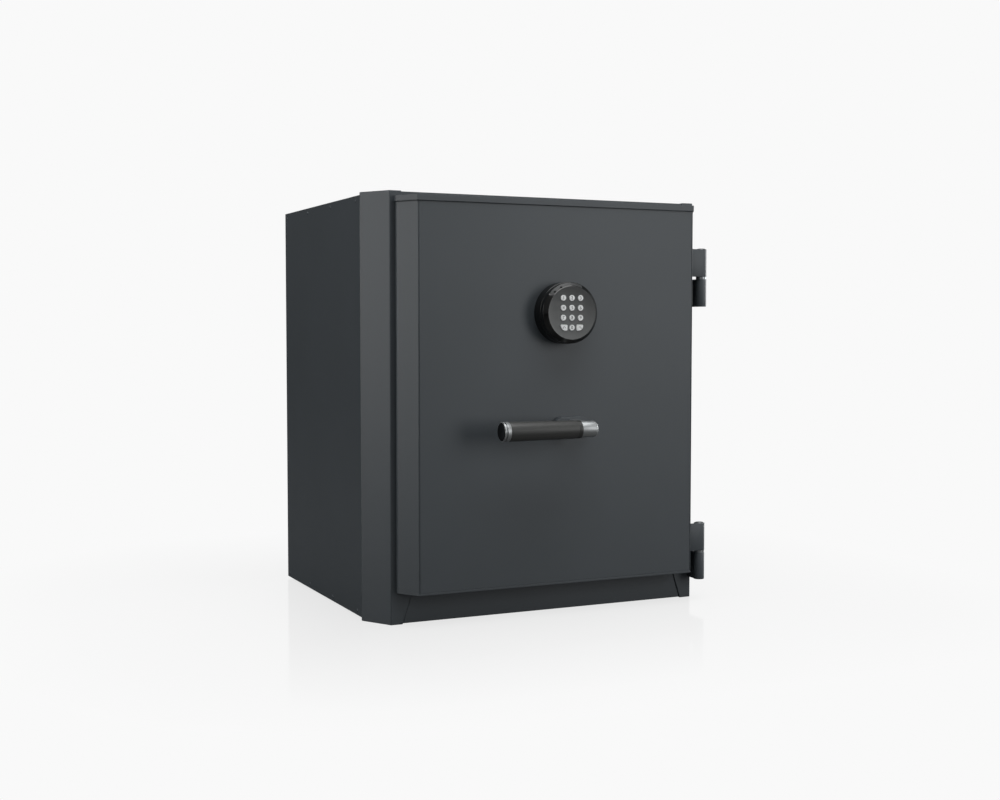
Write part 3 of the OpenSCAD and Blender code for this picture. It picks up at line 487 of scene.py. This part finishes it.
def soften(node_name, radius, shortest=2 * MM, chosen=lambda place: True):
    """Puts a copy with rounded outward corners in the place of a node."""
    mesh = merged_copy(node_name)
    corners = [
        edge
        for edge in mesh.edges
        if edge.calc_face_angle_signed(0) > CORNER
        and edge.calc_length() > shortest
        and chosen((edge.verts[0].co + edge.verts[1].co) / 2)
    ]
    strips = bmesh.ops.bevel(
        mesh,
        geom=corners,
        offset=radius,
        offset_type="OFFSET",
        segments=3,
        profile=0.5,
        affect="EDGES",
        clamp_overlap=True,
        material=-1,
    )
    for face in strips["faces"]:
        face.smooth = True
    shade_below(mesh, SHARP_IN_SHEET)
    open_edges = sum(not edge.is_manifold for edge in mesh.edges)
    slot = slot_of_node[node_name]
    piece = piece_from(
        mesh, node_name + "_soft", body_of_node[node_name], FINISHES[slot]
    )
    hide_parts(node_name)
    print(f"{piece.name}: {len(corners)} corners, {open_edges} open edges")


# %% Radii in millimetres of the sheets, the hinges and the turned parts
SHEET_RADII = {
    "side_panel_left": 0.6,
    "side_panel_right": 0.6,
    "top_panel": 0.4,
    "bottom_panel": 0.4,
    "back_panel": 0.4,
    "frame_upright_left": 0.9,
    "frame_upright_right": 0.9,
    "frame_top_rail": 0.7,
    "frame_bottom_rail": 0.7,
    "door_skin": 0.9,
    "door_top_cap": 0.35,
    "door_bottom_cap": 0.6,
    "shelf": 0.6,
    "shelf_clips": 0.5,
    "boltwork_case": 0.5,
    "boltwork_cover": 0.6,
    "hinge_side_strip": 0.8,
    "bolt_carriage": 0.5,
    "lock_body": 0.8,
    "lock_bolt": 0.7,
    "door_back_plate": 0.4,
}
TURNED_RADII = {
    "hinge_top_frame_half": 0.7,
    "hinge_bottom_frame_half": 0.7,
    "hinge_top_door_half": 0.7,
    "hinge_bottom_door_half": 0.7,
    "handle_rosette": 1.5,
    "lever_neck": 0.6,
    "grip_sleeve": 0.25,
}
SHORTEST_IN_TURNED = 0.05 * MM

for name, radius in SHEET_RADII.items():
    soften(name, radius * MM)
for name, radius in TURNED_RADII.items():
    soften(name, radius * MM, shortest=SHORTEST_IN_TURNED)

# %% [markdown]
# Only the outer rim of the keypad's housing is rounded. The edges of its pockets, where
# the face and the window lie, stay sharp.

# %% Round the keypad's rim
RIM_BEYOND = 42 * MM


def on_outer_rim(place):
    """Whether a place is on the keypad's outer rim, and not in its pockets."""
    across = place.x - KEYPAD_CENTRE.x
    up = place.z - KEYPAD_CENTRE.z
    return math.hypot(across, up) > RIM_BEYOND


soften(
    "keypad_housing", 0.5 * MM, shortest=SHORTEST_IN_TURNED, chosen=on_outer_rim
)

# %% [markdown]
# ## Cover screws
# The cover of the boltwork is held by button head screws. A head like this is pressed
# into a low dome and its hexagon socket is punched in. The socket's six corners can't
# come from a spin, so the top is a round loop bridged to a hexagon, and the socket is
# the hexagon pushed in. The shank stays hidden in the sheet, so a screw is only its
# head.


# %% Button head helper
def button_head(mesh, centre, radius, height, socket):
    """A low domed head with a hexagon socket, pointing along +Y."""
    upright = Matrix.Rotation(math.radians(-90), 4, "X")
    rings = []
    for segments, ring_radius, depth in (
        (24, radius, 0),
        (24, radius, height * 0.35),
        (24, radius * 0.9, height * 0.75),
        (24, radius * 0.7, height),
        (6, socket, height),
        (6, socket, height * 0.2),
    ):
        made = bmesh.ops.create_circle(
            mesh,
            segments=segments,
            radius=ring_radius,
            matrix=Matrix.Translation(centre + Vector((0, depth, 0))) @ upright,
        )
        rings.append({edge for vert in made["verts"] for edge in vert.link_edges})
    for outer, inner in zip(rings, rings[1:]):
        bmesh.ops.bridge_loops(mesh, edges=list(outer | inner))
    for ends in (rings[0], rings[-1]):
        bmesh.ops.contextual_create(mesh, geom=list(ends))


# %% Cover screws
SCREW_COLUMNS_X = (-190, 190)
SCREWS_IN_COLUMN = 4
LOWEST_SCREW_Z = 77
SCREW_COLUMN_LENGTH = 446
COVER_BACK = FRAME_FRONT + 60 * MM

screws = bmesh.new()
for x in SCREW_COLUMNS_X:
    for step in range(SCREWS_IN_COLUMN):
        z = LOWEST_SCREW_Z + step * SCREW_COLUMN_LENGTH / (SCREWS_IN_COLUMN - 1)
        button_head(
            screws,
            Vector((x * MM, COVER_BACK, z * MM)),
            radius=4 * MM,
            height=1.6 * MM,
            socket=1.6 * MM,
        )
bmesh.ops.recalc_face_normals(screws, faces=screws.faces)
screw_heads = piece_from(
    screws, "cover_screw_heads", "door", zinc_plate
)
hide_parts("cover_screws")
print("screw heads:", len(screw_heads.data.polygons), "faces")

# %% [markdown]
# ## Turned small parts
# The signal lamps in the keypad's window, the grip's end cap with its plug, the plugs
# in the tops of the hinges and the domes under the plug welds are all round. Each is a
# half outline in millimetres, given as radius and height from the centre outwards, that
# is spun about its axis.


# %% Spinning helper
def turned(name, outline_mm, centre, axis, body, material, steps=48):
    """Spins an outline of (radius, height) pairs about an axis through a centre."""
    mesh = bmesh.new()
    verts = [mesh.verts.new((r * MM, 0, h * MM)) for r, h in outline_mm]
    edges = [mesh.edges.new(pair) for pair in zip(verts, verts[1:])]
    bmesh.ops.spin(
        mesh,
        geom=verts + edges,
        cent=(0, 0, 0),
        axis=(0, 0, 1),
        angle=math.tau,
        steps=steps,
        use_merge=True,
    )
    bmesh.ops.remove_doubles(mesh, verts=mesh.verts, dist=0.001 * MM)
    bmesh.ops.recalc_face_normals(mesh, faces=mesh.faces)
    for face in mesh.faces:
        face.smooth = True
    shade_below(mesh, SHARP_IN_TURNED)
    turn = Vector((0, 0, 1)).rotation_difference(Vector(axis)).to_matrix().to_4x4()
    bmesh.ops.transform(
        mesh, matrix=Matrix.Translation(centre) @ turn, verts=mesh.verts
    )
    return piece_from(mesh, name, body, material)


# %% Signal lamps in the keypad's window
LAMP_OUTLINE = [
    (0, 0.55), (0.7, 0.45), (1.2, 0.2), (1.4, 0.05), (1.75, 0.12), (1.9, -0.2),
    (0, -0.2),
]
LAMP_RADIUS = 39.3 * MM
LAMP_FRONT = FRAME_FRONT - 73 * MM + 2.1 * MM
LEAN_TO_THE_FRONT = Vector((0, -0.95, 0))

for name, degrees in (("lamp_left", 132), ("lamp_right", 115)):
    angle = math.radians(degrees)
    outward = Vector((math.cos(angle), 0, math.sin(angle)))
    turned(
        name,
        LAMP_OUTLINE,
        KEYPAD_CENTRE + outward * LAMP_RADIUS + Vector((0, LAMP_FRONT, 0)),
        outward + LEAN_TO_THE_FRONT,
        "door",
        dark_lens,
        steps=20,
    )

# %% [markdown]
# The solids of the side panels already carry the marks of their plug welds, and those
# are what is seen. These domes are a little lower and begin two millimetres inside the
# sheet, so they lie wholly under the marks and don't show.

# %% Domes under the plug welds
WELD_OUTLINE = [
    (0, 2.9), (1.8, 2.7), (3.2, 1.8), (4.0, 0.5), (4.2, 0), (4.2, -0.2), (0, -0.2)
]
WELD_BASE_X = 266 * MM
REAR_WELD_Y = 199
WELD_PITCH = 112
WELDS_IN_ROW = 4

for hand, side in (("left", -1), ("right", 1)):
    for row, z in (("low", 10), ("high", 590)):
        for step in range(WELDS_IN_ROW):
            y = REAR_WELD_Y - WELD_PITCH * step
            turned(
                f"weld_{hand}_{row}_{step}",
                WELD_OUTLINE,
                Vector((side * WELD_BASE_X, y * MM, z * MM)),
                (side, 0, 0),
                "cabinet",
                powder_coat,
                steps=20,
            )

# %% End cap of the grip, with its groove
CAP_OUTLINE = [
    (0, 0), (13.0, 0), (13.5, 0.2), (13.6, 0.6), (13.6, 2.1), (13.3, 2.3), (12.0, 2.4),
    (12.0, 3.8), (13.3, 3.9), (13.6, 4.1), (13.6, 9.1), (13.4, 9.5), (0, 9.5),
]
GRIP_END = Vector((-120 * MM, GRIP_AXIS.y, GRIP_AXIS.z))

end_cap = turned(
    "grip_end_cap_turned",
    CAP_OUTLINE,
    GRIP_END,
    (1, 0, 0),
    "handle",
    satin_chrome,
    steps=64,
)
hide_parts("grip_end_cap")

# %% Plugs in the grip's end and in the hinges
GRIP_PLUG_OUTLINE = [
    (0, 0.25), (9.6, 0.25), (10.2, 0.5), (12.0, 0.5), (12.6, 0.1), (12.6, -0.2),
    (0, -0.2),
]
HINGE_PLUG_OUTLINE = [
    (0, 1.6), (3.0, 1.5), (5.4, 1.1), (6.6, 0.5), (6.9, 0), (6.9, -0.2), (0, -0.2)
]

turned(
    "grip_end_plug",
    GRIP_PLUG_OUTLINE,
    GRIP_END,
    (-1, 0, 0),
    "handle",
    black_abs,
)
for name, top in (("hinge_plug_bottom", 117), ("hinge_plug_top", 529.5)):
    turned(
        name,
        HINGE_PLUG_OUTLINE,
        Vector((246 * MM, FRAME_FRONT - 22 * MM, top * MM)),
        (0, 0, 1),
        "door",
        machined_steel,
    )
print("turned parts ready")

# %% [markdown]
# ## Legends on the keys
# Each key carries a printed sign: a digit on the round ones, and a curved arrow on the
# two shaped ones. A print is a film of ink, so each sign is a sheet a few hundredths of
# a millimetre thick that lies on its key and travels with it. Digits come from a text
# object that is made a mesh before it is placed.

# %% Where the keys are
ARROW_KEYS = {"key_clear": -1, "key_enter": 1}

key_centres = {}
for key in (node for node in frame["nodes"] if node.startswith("key_")):
    low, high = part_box(key)
    key_centres[key] = Vector(((low.x + high.x) / 2, low.y, (low.z + high.z) / 2))
print("a key's front is at y =", round(key_centres["key_5"].y, 4))


# %% Printing helper
INK = 0.04 * MM


def print_sign(mesh, key):
    """Gives a flat sign on X and Z its thickness and lays it on its key."""
    bmesh.ops.recalc_face_normals(mesh, faces=mesh.faces)
    made = bmesh.ops.extrude_face_region(mesh, geom=list(mesh.faces))
    lifted = [item for item in made["geom"] if isinstance(item, bmesh.types.BMVert)]
    bmesh.ops.translate(mesh, verts=lifted, vec=(0, -INK, 0))
    bmesh.ops.recalc_face_normals(mesh, faces=mesh.faces)
    bmesh.ops.translate(mesh, verts=mesh.verts, vec=key_centres[key])
    piece_from(mesh, "legend_" + key[4:], key, legend_ink)


# %% Printed digits
DIGIT_SIZE = 6.4 * MM

for key in key_centres:
    if key in ARROW_KEYS:
        continue
    text = bpy.data.curves.new("digit", "FONT")
    text.body = key[4:]
    text.size = DIGIT_SIZE
    text.align_x = "CENTER"
    text.align_y = "CENTER"
    text.resolution_u = 4
    holder = bpy.data.objects.new("digit", text)
    bpy.context.scene.collection.objects.link(holder)
    outline = bpy.data.meshes.new_from_object(
        holder.evaluated_get(bpy.context.evaluated_depsgraph_get())
    )
    bpy.data.objects.remove(holder)
    sign = bmesh.new()
    sign.from_mesh(outline)
    bmesh.ops.remove_doubles(sign, verts=sign.verts, dist=0.01 * MM)
    xs = [vert.co.x for vert in sign.verts]
    ys = [vert.co.y for vert in sign.verts]
    middle = Vector(((min(xs) + max(xs)) / 2, (min(ys) + max(ys)) / 2, 0))
    bmesh.ops.translate(sign, verts=sign.verts, vec=-middle)
    bmesh.ops.rotate(
        sign, verts=sign.verts, matrix=Matrix.Rotation(math.radians(90), 3, "X")
    )
    print_sign(sign, key)

# %% Printed arrows
ARROW_INSIDE = 1.5 * MM
ARROW_OUTSIDE = 2.1 * MM
ARROW_SWEEP = math.radians(160)
ARROW_HEAD = 1.0 * MM

for key, side in ARROW_KEYS.items():
    sign = bmesh.new()
    inner = sign.verts.new((ARROW_INSIDE, 0, 0))
    outer = sign.verts.new((ARROW_OUTSIDE, 0, 0))
    band = sign.edges.new((inner, outer))
    bmesh.ops.spin(
        sign,
        geom=[inner, outer, band],
        cent=(0, 0, 0),
        axis=(0, -1, 0),
        angle=ARROW_SWEEP,
        steps=14,
    )
    bmesh.ops.create_circle(
        sign,
        cap_ends=True,
        segments=3,
        radius=ARROW_HEAD,
        matrix=Matrix.Translation((side * 1.8 * MM, 0, -0.3 * MM))
        @ Matrix.Rotation(math.radians(90), 4, "X")
        @ Matrix.Rotation(math.radians(-90), 4, "Z"),
    )
    bmesh.ops.translate(sign, verts=sign.verts, vec=(0, 0, -0.7 * MM))
    print_sign(sign, key)
print("legends printed")

# %% [markdown]
# ## Studio
# The picture was lit mainly from above, so each wall is brightest at its top. A box in
# front on the right throws the shadows of the keypad and the grip softly to the left,
# and a weaker one on the left fills them. A tall strip far to the left is mirrored only
# in the chamfer and in the door's bevel, which makes them the brightest steel. A box on
# the right draws a light edge on the hinges. The one behind is for whoever walks round
# the safe, and it isn't mirrored in anything. No lamp can be seen by the camera itself.


# %% Soft lights
def softbox(name, place, aim, width, height, watts):
    """A rectangular soft light that points at a place."""
    light = bpy.data.lights.new(name, "AREA")
    light.shape = "RECTANGLE"
    light.size = width
    light.size_y = height
    light.energy = watts
    lamp = bpy.data.objects.new(name, light)
    lamp.location = place
    beam = Vector(aim) - Vector(place)
    lamp.rotation_euler = beam.to_track_quat("-Z", "Y").to_euler()
    lamp.visible_camera = False
    bpy.context.scene.collection.objects.link(lamp)
    return lamp


# Each light's place, the place it points at, its width, its height and its watts
LIGHTS = {
    "overhead": ((0.0, -0.7, 2.3), (0, -0.15, 0.3), 2.0, 1.4, 34),
    "right_front": ((1.4, -2.5, 0.8), (0, -0.2, 0.3), 1.0, 1.6, 15.5),
    "left_front": ((-1.5, -2.4, 1.4), (0, -0.2, 0.3), 1.2, 1.2, 5),
    "left_strip": ((-2.6, 0.15, 0.82), (0, -0.2, 0.35), 0.5, 1.6, 18),
    "right_side": ((2.8, -0.2, 0.7), (0.2, -0.2, 0.3), 0.8, 1.4, 36),
    "behind": ((0.6, 2.6, 1.3), (0, 0.2, 0.35), 1.6, 1.0, 26),
}
for name, settings in LIGHTS.items():
    lamp = softbox(name, *settings)
    lamp.visible_glossy = name != "behind"
print("lights:", ", ".join(LIGHTS))

# %% [markdown]
# ## Room
# The room is dim, and a little brighter in front of the safe than behind it. The
# backdrop is white to the camera. It is also white to the mirrored rays that carry on
# behind the safe, which is what the polished floor shows. Everything else that paint
# and metal mirror is mostly the dim room.


# %% Helpers for the room and the floor
def along(tree, place, direction):
    """How far a place lies along a direction."""
    return add_node(
        tree,
        "ShaderNodeVectorMath",
        {1: direction},
        {0: place},
        operation="DOT_PRODUCT",
    ).outputs["Value"]


def camera_rays(tree):
    """The kinds of ray, and a 1 for those that the camera sees with."""
    ray = add_node(tree, "ShaderNodeLightPath")
    seen = add_node(
        tree,
        "ShaderNodeMath",
        links={0: ray.outputs["Is Camera Ray"], 1: ray.outputs["Is Transmission Ray"]},
        operation="MAXIMUM",
    )
    return ray, seen.outputs[0]


def blend(tree, share, first, second):
    """Two shaders mixed, with the share that the second one gets."""
    return add_node(
        tree,
        "ShaderNodeMixShader",
        links={0: share, 1: first.outputs[0], 2: second.outputs[0]},
    )


# %% Room and backdrop
BACKDROP = colour("#f9f9f9")
TO_THE_FRONT = (0, -1, 0)
BEHIND_THE_SAFE = (0.424, 0.906, 0)

world = bpy.data.worlds.new("studio_room")
bpy.context.scene.world = world
world.use_nodes = True
tree = world.node_tree
tree.nodes.clear()
place = add_node(tree, "ShaderNodeTexCoord").outputs["Generated"]
room_light = add_node(
    tree,
    "ShaderNodeBackground",
    {"Color": (1, 1, 1, 1)},
    {"Strength": fade(tree, along(tree, place, TO_THE_FRONT), 0.0, 1.0, 0.03, 0.26)},
)
white = add_node(tree, "ShaderNodeBackground", {"Color": BACKDROP, "Strength": 1.0})
ray, seen = camera_rays(tree)
white_share = fade(tree, along(tree, place, BEHIND_THE_SAFE), 0.87, 0.95, 0.08, 1.0)
mirrored = add_node(
    tree,
    "ShaderNodeMath",
    links={0: ray.outputs["Is Glossy Ray"], 1: white_share, 2: seen},
    operation="MULTIPLY_ADD",
    use_clamp=True,
)
shown = blend(tree, mirrored.outputs[0], room_light, white)
add_node(tree, "ShaderNodeOutputWorld", links={"Surface": shown.outputs[0]})
print("room lit")

# %% [markdown]
# ## Floor
# The floor is a pale polished sheet that runs into the backdrop, so no horizon shows.
# Close to the safe a share of lit paper is mixed into the white. It takes the real soft
# shadow, and since the paper is dimmer than the white it also paints a soft shade round
# the foot. A faint mirror image is mixed in too, and both fade within half a metre. The
# distance is measured from the outline of the cabinet's foot.
# The rest of the sheet is the backdrop's own white, and to anything but the camera it
# is a dull grey, so that it doesn't light the safe from below.

# %% The sheet
FLOOR_RADIUS = 60

floor_mesh = bmesh.new()
bmesh.ops.create_circle(
    floor_mesh, cap_ends=True, segments=96, radius=FLOOR_RADIUS
)
floor_data = bpy.data.meshes.new("studio_floor")
floor_mesh.to_mesh(floor_data)
floor_mesh.free()
floor = bpy.data.objects.new("studio_floor", floor_data)
bpy.context.scene.collection.objects.link(floor)
floor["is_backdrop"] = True

# %% Distance from the cabinet's foot
HALF_FOOT = (0.271, 0.209, 0)

floor_paper = bpy.data.materials.new("white_floor_paper")
floor_paper.use_nodes = True
tree = floor_paper.node_tree
tree.nodes.clear()
place = add_node(tree, "ShaderNodeTexCoord").outputs["Object"]
sides = add_node(tree, "ShaderNodeVectorMath", links={0: place}, operation="ABSOLUTE")
beyond = add_node(
    tree,
    "ShaderNodeVectorMath",
    {1: HALF_FOOT},
    {0: sides.outputs["Vector"]},
    operation="SUBTRACT",
)
outside = add_node(
    tree,
    "ShaderNodeVectorMath",
    {1: (0, 0, 0)},
    {0: beyond.outputs["Vector"]},
    operation="MAXIMUM",
)
away = add_node(
    tree,
    "ShaderNodeVectorMath",
    links={0: outside.outputs["Vector"]},
    operation="LENGTH",
).outputs["Value"]

# %% Real shadow with painted shade, mirror image and backdrop white
SHADOW_REACH = 0.5
MIRROR_REACH = 0.42

paper = add_node(tree, "ShaderNodeBsdfDiffuse", {"Color": colour("#f4f4f4")})
glow = add_node(tree, "ShaderNodeEmission", {"Color": BACKDROP, "Strength": 1.0})
gloss = add_node(
    tree, "ShaderNodeBsdfGlossy", {"Color": (1, 1, 1, 1), "Roughness": 0.08}
)
dim_paper = add_node(tree, "ShaderNodeBsdfDiffuse", {"Color": colour("#7e7e7e")})
# Painted shade: near the foot a share of the dimmer lit paper darkens the white, on top of
# the real shadow that the paper takes.
matt_with_painted_shade = blend(tree, fade(tree, away, 0.0, SHADOW_REACH, 0.11, 0.0), glow, paper)
lit = blend(tree, fade(tree, away, 0.0, MIRROR_REACH, 0.1, 0.0), matt_with_painted_shade, gloss)
ray, seen = camera_rays(tree)
sheet = blend(tree, seen, dim_paper, lit)
add_node(tree, "ShaderNodeOutputMaterial", links={"Surface": sheet.outputs[0]})
floor_data.materials.append(floor_paper)

# %% [markdown]
# Four of the boxes stand low. They leave the floor out, because a polished floor would
# otherwise show them as bright patches from some sides.

# %% Keep the low boxes off the floor
LOW_BOXES = ("right_front", "left_front", "left_strip", "right_side")

left_out = bpy.data.collections.new("not_lit_by_the_front_boxes")
left_out.objects.link(floor)
left_out.collection_objects[0].light_linking.link_state = "EXCLUDE"
for name in LOW_BOXES:
    bpy.data.objects[name].light_linking.receiver_collection = left_out
print("floor laid")

# %% [markdown]
# ## Finish
# The last cell prints the size of the finished safe.

# %% Print the finished size
low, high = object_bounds()
print("finished size in metres:", [round(v, 4) for v in high - low])
